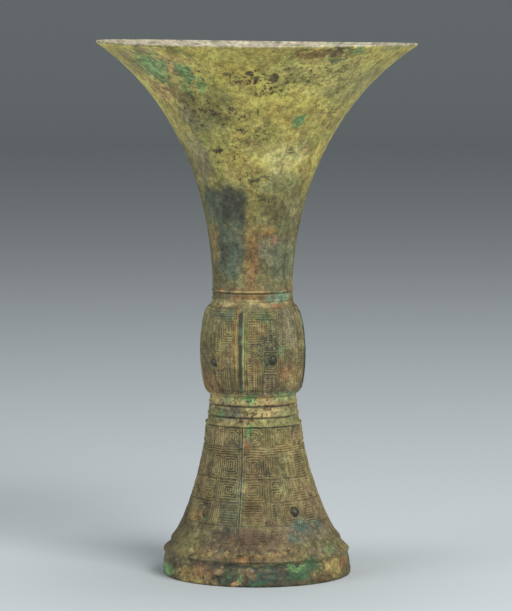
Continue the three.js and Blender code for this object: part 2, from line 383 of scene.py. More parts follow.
BASE_OUTLINE = [
    (BASE_RADIUS - FOOT_WALL, 0),
    (BASE_RADIUS - 0.7, 0),
    (BASE_RADIUS, 0.7),
    (BASE_RADIUS - 0.1, 3.2),
    (BASE_RADIUS - 0.4, 6),
    (BASE_WAIST_RADIUS + 0.1, 9.2),
    (BASE_WAIST_RADIUS - 0.35, LEDGE_BOTTOM - 0.9),
    (LEDGE_RADIUS - 0.15, LEDGE_BOTTOM - 0.1),
    (LEDGE_RADIUS, LEDGE_BOTTOM + 0.5),
    (LEDGE_RADIUS - 1.1, LEDGE_BOTTOM + 1.7),
    (LIP_RADIUS + 1.2, LIP_BOTTOM - 0.7),
    (LIP_RADIUS + 0.1, LIP_BOTTOM + 0.7),
    (LIP_RADIUS - 0.2, FOOT_BOTTOM - 0.7),
]
COLLAR_OUTLINE = [
    (FOOT_TOP_RADIUS + 0.05, COLLAR_BOTTOM - 0.85),
    (FOOT_TOP_RADIUS + 0.25, COLLAR_BOTTOM - 0.3),
    (FOOT_TOP_RADIUS + 0.15, COLLAR_BOTTOM + 0.15),
    (COLLAR_FOOT_RADIUS - 0.1, COLLAR_BOTTOM + 0.8),
]
UNDER_BULB = [
    (COLLAR_TOP_RADIUS - 0.1, BULB_BOTTOM - 1.3),
    (COLLAR_TOP_RADIUS + 0.3, BULB_BOTTOM - 0.9),
    (BULB_FOOT_RADIUS - 0.5, BULB_BOTTOM - 0.3),
    (BULB_FOOT_RADIUS + 0.05, BULB_BOTTOM + 0.4),
]
OVER_BULB = [
    (BULB_TOP_RADIUS - 0.5, BULB_TOP + 0.2),
    (NECK_RADIUS + 0.7, BULB_TOP + 0.8),
    (NECK_RADIUS + 0.15, BULB_TOP + 2.2),
]

# Registers of relief on the foot: name, bottom, top and columns
FOOT_REGISTERS = [
    ("hem", FOOT_BOTTOM, 28.2, 408),
    ("comb", 28.2, 39.2, 360),
    ("lower_spiral", 39.2, 50.3, 312),
    ("upper_spiral", 50.3, BAND_BOTTOM, 276),
    ("upper_band", BAND_BOTTOM, COLLAR_BOTTOM - 0.9, 252),
]
BULB_COLUMNS = 272
BULB_RELIEF = (BULB_BOTTOM + 0.6, BULB_TOP - 0.3)
print("registers on the foot:", [name for name, *_ in FOOT_REGISTERS])

# %% Spin a chain of points
shape = bmesh.new()
ring_of = shape.verts.layers.int.new("ring")
stretches = []
AXIS_REACH = 1e-4


def spin_stretch(name, points, columns):
    """Spins one chain of points round the axis, and notes which rings it made."""
    first = stretches[-1]["last"] + 1 if stretches else 0
    strip = bmesh.new()
    strip_ring = strip.verts.layers.int.new("ring")
    chain = []
    for number, (radius, height) in enumerate(points):
        vertex = strip.verts.new((0, -radius, height))
        vertex[strip_ring] = first + number
        chain.append(vertex)
    edges = [strip.edges.new(pair) for pair in zip(chain, chain[1:])]
    whole = {"cent": (0, 0, 0), "axis": UPRIGHT, "angle": 2 * math.pi, "steps": columns}
    bmesh.ops.spin(strip, geom=chain + edges, use_merge=True, **whole)
    on_axis = [vertex for vertex in strip.verts if vertex.co.xy.length < AXIS_REACH]
    bmesh.ops.remove_doubles(strip, verts=on_axis, dist=AXIS_REACH)
    holder = bpy.data.meshes.new(name)
    strip.to_mesh(holder)
    strip.free()
    shape.from_mesh(holder)
    bpy.data.meshes.remove(holder)
    last = first + len(points) - 1
    stretches.append({"name": name, "first": first, "last": last, "columns": columns})


def spin_outside():
    """Spins every stretch of the outside, from the base ring up to the rim."""
    spin_stretch("base", along(BASE_OUTLINE, BASE_STEP), BASE_COLUMNS)
    for name, bottom, top, columns in FOOT_REGISTERS:
        points = rows_between(foot_radius, bottom + SEAM / 2, top - SEAM / 2, CELL)
        spin_stretch(name, points, columns)
    spin_stretch("foot_edge", along(COLLAR_OUTLINE, EDGE_STEP), COLLAR_COLUMNS)
    collar = rows_between(collar_radius, COLLAR_BOTTOM + 1.2, BULB_BOTTOM - 1.7, COLLAR_STEP)
    spin_stretch("collar", collar + along(UNDER_BULB, CELL), COLLAR_COLUMNS)
    spin_stretch("bulb", rows_between(bulb_radius, *BULB_RELIEF, CELL), BULB_COLUMNS)
    neck = rows_between(neck_radius, BULB_TOP + 2.5, TRUMPET_BOTTOM - 0.4, NECK_STEP)
    spin_stretch("neck", along(OVER_BULB, CELL) + neck, SHAFT_COLUMNS)
    trumpet = rows_between(trumpet_radius, TRUMPET_BOTTOM + 0.4, TRUMPET_TOP, TRUMPET_STEP)
    rim = [
        (RIM_RADIUS - 0.05, TRUMPET_TOP + 0.45),
        (RIM_RADIUS - 0.15, TRUMPET_TOP + 0.9),
        (RIM_RADIUS - 0.6, RIM_TOP),
        (RIM_RADIUS - 1.3, RIM_TOP - 0.1),
    ]
    spin_stretch("trumpet", trumpet + rim, SHAFT_COLUMNS)


spin_outside()
print("outside spun:", len(shape.verts), "points in", len(stretches), "stretches")

# %% [markdown]
# ## The hollows
# The wall is about three millimetres thick and thins to half of that at the rim. A floor at the
# bottom of the bulb closes the vessel, and the foot below it is open. The inner faces are spun in
# the same way from the outer curves moved in by the wall. Both chains end on the axis, where their
# copies are merged.

# %% Spin the inside of the vessel and of the foot
FLOOR_TOP = BULB_BOTTOM + FLOOR_THICKNESS / 2
FLOOR_UNDER = FLOOR_TOP - FLOOR_THICKNESS


def inner_radius(radius_at, wall_at):
    """The radius of the hollow where the wall is measured square to a sloping surface."""

    def radius(height):
        slope = radius_at(height + 0.5) - radius_at(height - 0.5)
        return radius_at(height) - wall_at(height) * math.hypot(1, slope)

    return radius


def trumpet_wall(height):
    """The wall thins from the neck to the rim."""
    up = (height - TRUMPET_BOTTOM) / TRUMPET_HEIGHT
    return NECK_WALL + (RIM_WALL - NECK_WALL) * up


def spin_inside():
    """Spins the inside from the rim down to the floor, and then the hollow of the foot."""
    in_trumpet = inner_radius(trumpet_radius, trumpet_wall)
    in_bulb = inner_radius(bulb_radius, lambda height: BULB_WALL)
    in_foot = inner_radius(foot_radius, lambda height: FOOT_WALL)
    mouth = [(RIM_RADIUS - 2.2, RIM_TOP - 0.75)]
    trumpet = rows_between(in_trumpet, TRUMPET_BOTTOM + 1, TRUMPET_TOP - 3.2, HOLLOW_STEP)[::-1]
    neck = [(NECK_RADIUS - NECK_WALL, BULB_TOP + 0.5 * NECK_HEIGHT)]
    bulb = rows_between(in_bulb, FLOOR_TOP + 2.2, BULB_TOP - 1.5, 5)[::-1]
    floor = [(BULB_FOOT_RADIUS - BULB_WALL - 0.6, FLOOR_TOP), (10, FLOOR_TOP), (0, FLOOR_TOP)]
    spin_stretch("inside", mouth + trumpet + neck + bulb + floor, SHAFT_COLUMNS)
    foot = rows_between(in_foot, FOOT_BOTTOM + 1, COLLAR_BOTTOM - 1.5, HOLLOW_STEP)
    in_base = BASE_RADIUS - FOOT_WALL
    ring = [(in_base, 1), (in_base, 6), (LEDGE_RADIUS - FOOT_WALL, 13)]
    top = [(COLLAR_TOP_RADIUS - FOOT_WALL, FLOOR_UNDER), (9, FLOOR_UNDER), (0, FLOOR_UNDER)]
    spin_stretch("foot_inside", ring + foot + top, HOLLOW_COLUMNS)


spin_inside()
print("with both hollows:", len(shape.verts), "points")

# %% Bridge neighbouring stretches
def ring_edges():
    """Lists the edges that run round the axis, by the ring that they lie on."""
    rings = {}
    for edge in shape.edges:
        start, end = edge.verts
        if start[ring_of] == end[ring_of]:
            rings.setdefault(start[ring_of], []).append(edge)
    return rings


def bridge_stretches():
    """Closes the gaps between stretches, at the rim and inside the base ring."""
    rings = ring_edges()
    for lower, upper in zip(stretches, stretches[1:]):
        if upper["name"] != "foot_inside":
            bmesh.ops.bridge_loops(shape, edges=rings[lower["last"]] + rings[upper["first"]])
    inside_base = rings[stretches[0]["first"]] + rings[stretches[-1]["first"]]
    bmesh.ops.bridge_loops(shape, edges=inside_base)
    bmesh.ops.recalc_face_normals(shape, faces=shape.faces)


bridge_stretches()
open_edges = sum(1 for edge in shape.edges if not edge.is_manifold)
print("bridged:", len(shape.faces), "faces,", open_edges, "open edges")

# %% [markdown]
# ## The thread relief
# The fields are filled with threads of raised metal that wind into squared spirals, frames and
# combs. A thread is one line of mesh points left standing between two lines that sink. Each
# register has a plan, the set of points that stand, drawn on squared paper by small functions from
# the nose flange to the side flange. Mirrored about the flanges, it goes round the vessel, as the
# founder's two masks do.

# %% Draw on squared paper
def cells_of(wide, tall):
    """Lists the columns and rows of a block."""
    return [(column, row) for column in range(wide) for row in range(tall)]


def spiral(plan, left, low, wide, tall):
    """Winds one thread inwards from a corner of its cell."""
    column, row = left, low
    plan.add((column, row))
    headings = ((1, 0), (0, 1), (-1, 0), (0, -1))
    for run in range(wide + tall):
        if run % 2 == 0:
            length = wide - 1 - 2 * max(0, run // 2 - 1)
        else:
            length = tall - 1 - 2 * (run // 2)
        if length <= 0:
            break
        across, upward = headings[run % 4]
        for _ in range(length):
            column += across
            row += upward
            plan.add((column, row))


def frames(plan, left, low, wide, tall):
    """Sets frames of thread one inside the other."""
    for column, row in cells_of(wide, tall):
        inset = min(column, row, wide - 1 - column, tall - 1 - row)
        if inset % 2 == 0:
            plan.add((left + column, low + row))


def rounds(plan, left, low, wide, tall):
    """Winds a round spiral about the middle of its cell."""
    for column, row in cells_of(wide, tall):
        across = column - (wide - 1) / 2
        upward = row - (tall - 1) / 2
        reach = math.hypot(across, upward * wide / tall)
        turn = math.atan2(upward, across) / math.pi
        if reach < wide / 2 + 0.3 and (reach - turn) % 2 < 1:
            plan.add((left + column, low + row))


def uprights(plan, left, low, wide, tall):
    """Stands threads side by side."""
    plan.update((left + c, low + r) for c, r in cells_of(wide, tall) if c % 2 == 0)


def levels(plan, left, low, wide, tall):
    """Lays threads one above the other."""
    plan.update((left + c, low + r) for c, r in cells_of(wide, tall) if r % 2 == 0)


def slants(plan, left, low, wide, tall):
    """Leans threads at half a right angle."""
    plan.update((left + c, low + r) for c, r in cells_of(wide, tall) if (c + r) % 3 == 0)


def combs(plan, left, low, wide, tall):
    """Stands spines four columns apart, with short teeth on one side of each."""
    for column, row in cells_of(wide, tall):
        if column % 4 == 0 or (row % 2 == 0 and column % 4 < 3):
            plan.add((left + column, low + row))


print("seven ways to fill a cell of the plan")

# %% [markdown]
# The plans list each cell as its filling, its first column from the nose flange, its lowest row,
# and how many columns and rows it takes. The two large spirals beside the nose are the clearest on
# the real foot, with a rounder one above them and a comb of level threads below.

# %% Fill the registers
PLANS = {
    "hem": [
        (levels, 3, 1, 21, 5),
        (uprights, 3, 7, 9, 8),
        (levels, 13, 7, 11, 8),
        (frames, 25, 1, 19, 14),
        (uprights, 45, 1, 11, 15),
        (slants, 57, 1, 14, 15),
        (levels, 72, 1, 13, 15),
        (frames, 86, 1, 15, 15),
    ],
    "comb": [
        (uprights, 1, 0, 1, 19),
        (levels, 3, 1, 16, 17),
        (uprights, 20, 1, 7, 18),
        (combs, 28, 1, 7, 18),
        (frames, 36, 1, 15, 17),
        (uprights, 52, 1, 7, 18),
        (levels, 60, 1, 13, 17),
        (slants, 74, 1, 8, 18),
        (uprights, 83, 1, 7, 18),
    ],
    "lower_spiral": [
        (uprights, 1, 0, 1, 19),
        (spiral, 3, 1, 17, 17),
        (uprights, 21, 1, 3, 18),
        (spiral, 26, 1, 9, 9),
        (frames, 26, 11, 9, 7),
        (uprights, 36, 1, 7, 18),
        (levels, 44, 1, 15, 9),
        (combs, 44, 11, 15, 8),
        (frames, 60, 1, 11, 17),
        (uprights, 72, 1, 5, 18),
    ],
    "upper_spiral": [
        (uprights, 1, 0, 1, 25),
        (spiral, 3, 1, 15, 19),
        (levels, 3, 21, 26, 1),
        (levels, 3, 23, 65, 3),
        (frames, 19, 1, 9, 19),
        (slants, 30, 1, 7, 21),
        (combs, 38, 1, 11, 21),
        (levels, 50, 1, 11, 21),
        (uprights, 62, 1, 5, 21),
    ],
    "upper_band": [
        (uprights, 1, 0, 1, 17),
        (rounds, 3, 1, 14, 15),
        (uprights, 18, 1, 9, 16),
        (frames, 29, 1, 9, 15),
        (combs, 39, 1, 8, 16),
        (rounds, 48, 2, 11, 13),
        (uprights, 60, 1, 3, 16),
    ],
    "bulb": [
        (uprights, 2, 1, 3, 70),
        (combs, 6, 1, 4, 41),
        (levels, 6, 43, 12, 3),
        (frames, 6, 47, 12, 15),
        (levels, 6, 63, 26, 8),
        (uprights, 11, 1, 8, 19),
        (slants, 11, 21, 7, 21),
        (combs, 19, 38, 12, 24),
        (combs, 20, 1, 13, 16),
        (frames, 19, 18, 15, 19),
        (uprights, 35, 1, 9, 36),
        (frames, 32, 38, 12, 32),
        (combs, 45, 1, 12, 70),
        (levels, 58, 1, 8, 34),
        (frames, 58, 36, 9, 35),
    ],
}


def draw_plan(cells):
    """Draws every cell of one register."""
    plan = set()
    for filling, left, low, wide, tall in cells:
        filling(plan, left, low, wide, tall)
    return plan


plans = {name: draw_plan(cells) for name, cells in PLANS.items()}
print("standing points in a quarter:", {name: len(plan) for name, plan in plans.items()})

# %% [markdown]
# ## Flanges and eyes
# Low flanges stand on the four joints of the mould round the bulb, and down the foot the same
# joints show as thin seams. Each mask has a pair of domed eyes. All move points of the same mesh: a
# flange is a ridge a few points wide, a seam is a fine groove, and an eye is a dome with a groove
# round it. One eye of the mask on the foot is eaten away, and it stays so.

# %% Describe flanges, seams and eyes
BULB_FLANGE = {"half_width": 1.0, "proud": 0.85, "bottom": BULB_BOTTOM + 2.2, "top": BULB_TOP - 2.2}
FOOT_SEAM = {"half_width": 0.3, "proud": -0.3, "bottom": FOOT_BOTTOM + 1.4, "top": COLLAR_BOTTOM - 1.4}
BULB_EYE_HEIGHT = BULB_BOTTOM + 0.39 * BULB_HEIGHT
FOOT_EYE_HEIGHT = FOOT_BOTTOM + 0.33 * MAIN_BAND_HEIGHT
# Each eye: turn from the nose in degrees, height, radius, how proud it stands, how whole it is
EYES = [
    (-33, BULB_EYE_HEIGHT - 0.8, 2.2, 1.7, 1.0),
    (36, BULB_EYE_HEIGHT + 1.0, 2.2, 1.7, 1.0),
    (-38, FOOT_EYE_HEIGHT - 0.6, 2.8, 0.9, 0.3),
    (49, FOOT_EYE_HEIGHT + 0.4, 2.4, 1.8, 1.0),
]
EYE_RING = 1.1
EYE_RING_FALL = 0.3


def way_round(turn, other, radius):
    """The signed way along the surface from one turn to another, the short way round."""
    degrees = (turn - other + 180) % 360 - 180
    return degrees * math.pi / 180 * radius


def flange_rise(turn, radius, height):
    """How far a flange or a seam moves this place."""
    flange = BULB_FLANGE if height > BULB_BOTTOM else FOOT_SEAM
    if not flange["bottom"] < height < flange["top"]:
        return 0
    aside = abs(way_round(turn, 90 * round(turn / 90), radius))
    return flange["proud"] if aside < flange["half_width"] else 0


def eye_rise(turn, radius, height):
    """How far an eye lifts this place, and how much of the place is eye."""
    for nose in (0, 180):
        for eye_turn, eye_height, eye_radius, proud, whole in EYES:
            aside = way_round(turn, nose + eye_turn, radius)
            if abs(aside) > 2 * eye_radius or abs(height - eye_height) > 2 * eye_radius:
                continue
            reach = math.hypot(aside, height - eye_height)
            if reach < eye_radius:
                return proud * math.sqrt(1 - (reach / eye_radius) ** 2), whole
            if reach < eye_radius + EYE_RING:
                return -EYE_RING_FALL, 0
    return 0, 0


print("eyes stand at", [(turn, round(height, 1)) for turn, height, *_ in EYES])

# %% [markdown]
# ## Wear, crust and the hand
# The relief is worn in places, the base ring is crusted and pitted, and the shaft bows a little to
# one side while the rim isn't quite level. Smooth noise at a few scales gives the unevenness,
# always the same, and the bow and the rim's lift are the solid's own.

# %% Describe wear, pits and the bow
THREAD_RISE = 0.26
GROOVE_FALL = 0.3
WEAR_SCALE = 9.0
WEAR_SWING = 0.4
CHIP_SCALE = 2.1
CHIP_SWING = 0.45
WEAR_MEAN = 0.85
WEAR_LIMITS = (0.1, 1.1)
WAVER_SCALE = 4.5
WAVER = 0.32
CRUST_SCALE = 1.7
BASE_CRUST = 0.34
SKIN_CRUST = 0.06
PIT_SPREAD = 1.5
SHAFT_BOW = 2.25
RIM_TILT = 0.8
RIM_SADDLE = 0.85
# How crisp each register is left
CRISPNESS = {
    "hem": 0.5,
    "comb": 0.85,
    "lower_spiral": 1.0,
    "upper_spiral": 1.0,
    "upper_band": 0.9,
    "bulb": 0.75,
}
# Pits in the base ring: turn in degrees, height, radius, depth
PITS = [
    (-11.2, 3.8, 1.7, 1.3),
    (-22, 2.4, 1.2, 0.8),
    (-30, 4.6, 1.4, 0.7),
    (-37, 2.2, 1.0, 0.7),
    (-17, 6.5, 1.1, 0.6),
    (24, 6.2, 1.1, 0.6),
    (33, 2.6, 1.0, 0.6),
    (58, 3.2, 1.2, 0.7),
    (150, 5.0, 1.8, 0.9),
    (-118, 3.4, 1.5, 0.8),
]


def wear(name, place):
    """How much of the thread relief is left here, from worn to crisp."""
    broad = WEAR_SWING * noise.noise(place / WEAR_SCALE)
    chips = CHIP_SWING * noise.noise(place / CHIP_SCALE)
    least, most = WEAR_LIMITS
    return CRISPNESS[name] * min(most, max(least, WEAR_MEAN + broad + chips))


def crust_rise(turn, radius, height, place):
    """How corrosion lifts and eats the base ring, the ledge and, less, the rest."""
    strength = BASE_CRUST if height < FOOT_BOTTOM else SKIN_CRUST
    rise = strength * noise.fractal(place / CRUST_SCALE, 1.0, 2.0, 3)
    if height < FOOT_BOTTOM:
        for pit_turn, pit_height, pit_radius, depth in PITS:
            aside = way_round(turn, pit_turn, radius)
            rise -= depth * bump(math.hypot(aside, height - pit_height), pit_radius * PIT_SPREAD)
    return rise


def waver(place):
    """Lets cut lines waver sideways and up a little, as a hand does."""
    aside = WAVER * noise.noise(place / WAVER_SCALE)
    up = WAVER * noise.noise(place / WAVER_SCALE + Vector((31, 7, 53)))
    along_ring = Vector((-place.y, place.x, 0)).normalized()
    return place + along_ring * aside + UPRIGHT * up


def by_hand(place):
    """Bows the shaft and unlevels the rim, as the solid does."""
    up = min(1, max(0, (place.z - TRUMPET_BOTTOM) / TRUMPET_HEIGHT))
    across = place.x / RIM_RADIUS
    lift = up * (RIM_SADDLE * across * across - RIM_TILT * across)
    bow = SHAFT_BOW * math.sin(math.pi * place.z / RIM_TOP)
    return Vector((place.x - bow, place.y, place.z + lift))


print("pits in the base ring:", len(PITS))

# %% Raise the relief
INNER = ("inside", "foot_inside")
HALFWAY = 0.5
crest_of = shape.verts.layers.float.new("crest")
eye_of = shape.verts.layers.float.new("eye")
inner_of = shape.verts.layers.float.new("inner")
seam_of = shape.verts.layers.float.new("seam")


def stretch_by_ring():
    """Looks up the stretch that each ring belongs to."""
    return {ring: part for part in stretches for ring in range(part["first"], part["last"] + 1)}


def thread_here(part, ring, turn):
    """Tells whether a thread stands at this point of a register."""
    quarter = part["columns"] // 4
    column = round(turn / 360 * part["columns"]) % (2 * quarter)
    from_nose = min(column, 2 * quarter - column)
    return (from_nose, ring - part["first"]) in plans[part["name"]]


def raise_relief():
    """Moves every point of the outside by its threads, flanges, eyes and crust."""
    parts = stretch_by_ring()
    for vertex in shape.verts:
        part = parts[vertex[ring_of]]
        vertex[crest_of] = HALFWAY
        vertex[inner_of] = float(part["name"] in INNER)
        if part["name"] not in INNER:
            radius = vertex.co.xy.length
            turn = math.degrees(math.atan2(vertex.co.x, -vertex.co.y))
            rise = crust_rise(turn, radius, vertex.co.z, vertex.co)
            if part["name"] in plans:
                stands = thread_here(part, vertex[ring_of], turn)
                depth = wear(part["name"], vertex.co)
                vertex[crest_of] = HALFWAY + (HALFWAY if stands else -HALFWAY) * depth
                flange = flange_rise(turn, radius, vertex.co.z)
                eye, whole = eye_rise(turn, radius, vertex.co.z)
                vertex[eye_of] = whole
                vertex[seam_of] = float(flange != 0)
                if eye or flange:
                    rise += eye or flange
                else:
                    rise += (THREAD_RISE if stands else -GROOVE_FALL) * depth
                vertex.co = waver(vertex.co)
            vertex.co.xy *= (radius + rise) / radius
        vertex.co = by_hand(vertex.co)


raise_relief()
print("widest point from the axis:", round(max(v.co.xy.length for v in shape.verts), 2), "mm")

# %% Finish the vessel's mesh
def finish_vessel():
    """Smooths the plain stretches, keeps the relief crisp, and turns millimetres into metres."""
    parts = stretch_by_ring()
    for face in shape.faces:
        names = {parts[vertex[ring_of]]["name"] for vertex in face.verts}
        face.smooth = not names & set(plans)
    bmesh.ops.scale(shape, vec=(MM, MM, MM), verts=shape.verts)
    mesh = bpy.data.meshes.new("bronze_vessel")
    shape.to_mesh(mesh)
    shape.free()
    vessel = bpy.data.objects.new("bronze_vessel", mesh)
    bpy.context.collection.objects.link(vessel)
    return vessel


vessel = finish_vessel()
triangles = sum(len(face.vertices) - 2 for face in vessel.data.polygons)
print("the vessel has", triangles, "triangles")

# %% [markdown]
# ## The patina
# Long burial has given the bronze an olive skin with ochre earth, malachite greens, charcoal and
# brown stains. Painted textures could show them, but they would need an image. Here the material
# works out every place as a turn round the axis and a height, from Object coordinates, and lays
# patches of pigment one over the other. A patch has a centre, a half turn, a half height and a
# strength, and noise breaks its edge: gently for a stain, in flakes for a crust, and into loose
# grains for a drift of specks.
# A few of the patches are painted highlights and painted shade, not patina.

# %% Mix the pigments
SCREEN_FULL = 255
# Each pigment as red, green and blue on a screen
MIXES = {
    "olive": (182, 167, 88),
    "olive_pale": (206, 190, 98),
    "olive_dark": (106, 100, 62),
    "olive_green": (124, 130, 76),
    "grey_green": (130, 132, 92),
    "khaki": (118, 106, 74),
    "tan": (140, 130, 84),
    "umber": (98, 86, 60),
    "khaki_dark": (104, 92, 66),
    "sand": (130, 115, 82),
    "buff": (178, 160, 108),
    "pale_yellow": (194, 186, 124),
    "ochre_yellow": (160, 140, 84),
    "ochre": (146, 114, 64),
    "orange": (158, 106, 62),
    "rust": (116, 72, 46),
    "salmon": (182, 142, 98),
    "pink": (150, 112, 98),
    "brown": (94, 72, 50),
    "purple_brown": (96, 80, 66),
    "mauve": (120, 110, 94),
    "charcoal": (62, 64, 52),
    "dark": (52, 46, 32),
    "plum": (72, 58, 48),
    "black_green": (38, 46, 38),
    "teal_grey": (82, 90, 74),
    "teal": (58, 98, 86),
    "turquoise": (104, 144, 118),
    "malachite": (110, 150, 94),
    "verdigris": (50, 90, 60),
    "lime": (108, 120, 58),
    "pale_green": (150, 166, 112),
    "blue_grey": (84, 92, 92),
    # the pale of a painted highlight along the lip
    "lip": (154, 148, 132),
    "soil": (86, 74, 54),
}


def pigment(mix):
    """Turns a mixed colour from its screen values into the shader's linear ones."""
    parts = [value / SCREEN_FULL for value in mix]
    return tuple((p / 12.92 if p <= 0.04045 else ((p + 0.055) / 1.055) ** 2.4) for p in parts) + (1,)


PIGMENTS = {name: pigment(mix) for name, mix in MIXES.items()}
print(len(PIGMENTS), "pigments")

# %% List the stains and painted highlights
# Each patch here and below: turn in degrees, height in millimetres, half turn, half height, pigment
# and strength
STAINS_AND_PAINTED_HIGHLIGHTS = [
    # the trumpet
    (71, 245, 23, 10, "grey_green", 0.5),
    (-49, 257, 18, 7, "olive_dark", 0.45),
    (44, 198, 21, 8, "grey_green", 0.6),
    (-39, 208, 12, 13, "mauve", 0.6),
    (-16, 234, 22, 11, "olive_dark", 0.55),
    (-32, 242, 8, 7, "olive_dark", 0.35),
    (-34, 231, 9, 4, "mauve", 0.55),
    (-29, 225, 11, 4, "teal_grey", 0.5),
    (-26, 265, 21, 0.8, "umber", 0.6),
    (18, 263, 9, 2, "ochre", 0.3),
    (-15, 224, 21, 8, "olive_green", 0.35),
    # painted highlight on the trumpet's right, where the key light falls
    (19, 214, 19, 5, "pale_yellow", 0.25),
    (-15, 184, 28, 12, "charcoal", 0.95),
    (-38, 184, 14, 11, "teal_grey", 0.7),
    (-43, 167, 13, 9, "ochre", 0.55),
    (-19, 162, 22, 15, "teal_grey", 0.9),
    (-16, 158, 8, 8, "teal", 0.3),
    (11, 161, 10, 17, "ochre", 0.6),
    (15, 158, 6, 11, "orange", 0.4),
    (31, 164, 11, 8, "mauve", 0.5),
    (60, 157, 32, 13, "grey_green", 0.6),
    (60, 161, 22, 11, "teal_grey", 0.5),
    (29, 174, 14, 3, "ochre", 0.6),
    (60, 182, 16, 10, "grey_green", 0.35),
    (-38, 252, 22, 9, "pale_yellow", 0.3),
    (40, 252, 22, 9, "pale_yellow", 0.25),
    # painted highlight on the trumpet's right, where the key light falls
    (52, 212, 12, 7, "pale_yellow", 0.45),
    (-66, 204, 20, 13, "charcoal", 0.6),
    (12, 160, 9, 14, "brown", 0.25),
    (44, 158, 15, 9, "teal_grey", 0.4),
    (12, 184, 8, 8, "olive", 0.4),
    # painted highlight on the trumpet's right, where the key light falls
    (40, 208, 14, 8, "pale_yellow", 0.55),
    # the neck
    (6, 141, 26, 4, "ochre", 0.85),
    (10, 141, 28, 4.5, "brown", 0.45),
    (64, 140, 28, 3, "grey_green", 0.5),
    (-36, 141, 31, 3, "umber", 0.5),
    # the bulb
    (-41, 116, 15, 21, "umber", 0.15),
    (-7, 117, 5, 21, "ochre", 0.45),
    (6, 120, 3, 10, "lime", 0.7),
    (15, 125, 7, 7, "ochre", 0.4),
    (17, 106, 8, 7, "ochre", 0.45),
    (33, 98, 13, 4, "purple_brown", 0.75),
    (57, 124, 21, 12, "mauve", 0.55),
    (-44, 96, 21, 7, "orange", 0.35),
    (-22, 114, 12, 11, "ochre", 0.25),
    (31, 116, 13, 10, "charcoal", 0.9),
    # the collar
    (-43, 81.5, 30, 4, "olive_dark", 0.55),
    (-26, 81, 17, 4.5, "teal_grey", 0.35),
    # the foot
    (52, 27, 13, 5, "teal_grey", 0.5),
    (55, 68, 20, 6, "buff", 0.4),
    (53, 26, 22, 6, "mauve", 0.35),
    (-11, 44, 9, 24, "teal_grey", 0.5),
    (-11, 31, 8, 9, "teal_grey", 0.35),
    (51, 54, 16, 12, "grey_green", 0.45),
    (60, 50, 12, 16, "buff", 0.25),
    (-41, 46, 18, 19, "umber", 0.25),
    (-35, 33, 13, 7, "umber", 0.7),
    (12, 34, 10, 6, "brown", 0.5),
    (-64, 28, 15, 12, "umber", 0.45),
    (18, 22.5, 25, 4.5, "purple_brown", 0.4),
    (-16, 19.5, 14, 4.5, "purple_brown", 0.35),
    (-43, 21, 17, 4, "olive_dark", 0.35),
    (13, 41, 8, 12, "ochre", 0.25),
    (69, 25.5, 20, 5, "mauve", 0.35),
    (35, 35, 13, 5, "olive_dark", 0.3),
    (12, 34, 9, 6, "umber", 0.8),
    (18, 21, 29, 5.5, "umber", 0.4),
    (14, 44, 9, 5.5, "umber", 0.3),
    (14, 22, 26, 5, "brown", 0.65),
    # the ledge and the base ring
    (-32, 13, 19, 2, "umber", 0.5),
    (60, 15, 16, 2, "mauve", 0.35),
    (17, 10, 36, 1.2, "black_green", 0.9),
    (13, 4, 26, 5, "charcoal", 0.95),
    (-45, 8, 17, 0.9, "black_green", 0.4),
    (6, 0.4, 21, 0.8, "charcoal", 0.5),
    (34, 4.5, 15, 4, "charcoal", 0.65),
    (22, 15, 30, 3, "umber", 0.5),
    # the far side, which the photograph doesn't show
    (150, 238, 26, 12, "grey_green", 0.5),
    (-140, 226, 24, 10, "olive_dark", 0.55),
    (-105, 205, 14, 16, "mauve", 0.4),
    (165, 184, 26, 14, "charcoal", 0.7),
    (-150, 162, 24, 14, "teal_grey", 0.7),
    (118, 162, 12, 18, "ochre", 0.5),
    (160, 118, 16, 16, "ochre", 0.4),
    (-120, 112, 24, 16, "mauve", 0.45),
    (130, 46, 14, 24, "teal_grey", 0.5),
    (-130, 34, 26, 14, "purple_brown", 0.4),
    (-165, 52, 18, 14, "grey_green", 0.4),
    (175, 10, 40, 1.1, "black_green", 0.7),
    (-110, 10, 30, 1.1, "black_green", 0.6),
]
print(len(STAINS_AND_PAINTED_HIGHLIGHTS), "stains")
